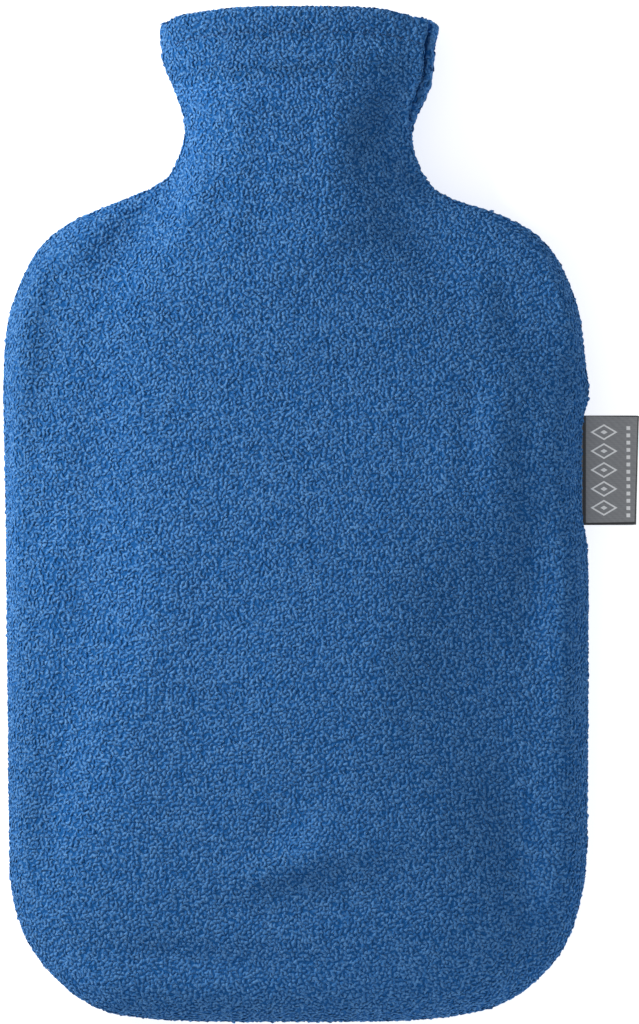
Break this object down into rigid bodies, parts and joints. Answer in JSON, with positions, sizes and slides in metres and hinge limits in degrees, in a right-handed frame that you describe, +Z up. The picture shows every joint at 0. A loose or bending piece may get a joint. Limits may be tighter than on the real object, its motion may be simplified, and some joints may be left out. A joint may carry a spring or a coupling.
{
  "type": "hot water bottle cover",
  "caption": "Soft fleece cover for a two-litre hot water bottle, open at the collar, with a small folded label in one side seam.",
  "frame": {"origin": "middle of the flat back, on the surface that the cover lies on", "axes": "+X across, to the side with the label; +Y from the foot to the mouth; +Z up out of the front"},
  "size_m": [0.2184, 0.3501, 0.0387],
  "materials": {
    "fleece": "short-pile blue fleece, matt",
    "woven_label": "grey woven satin"
  },
  "bodies": {
    "root": {"front_panel": "fleece", "back_panel": "fleece", "label": "woven_label"}
  },
  "joints": []
}
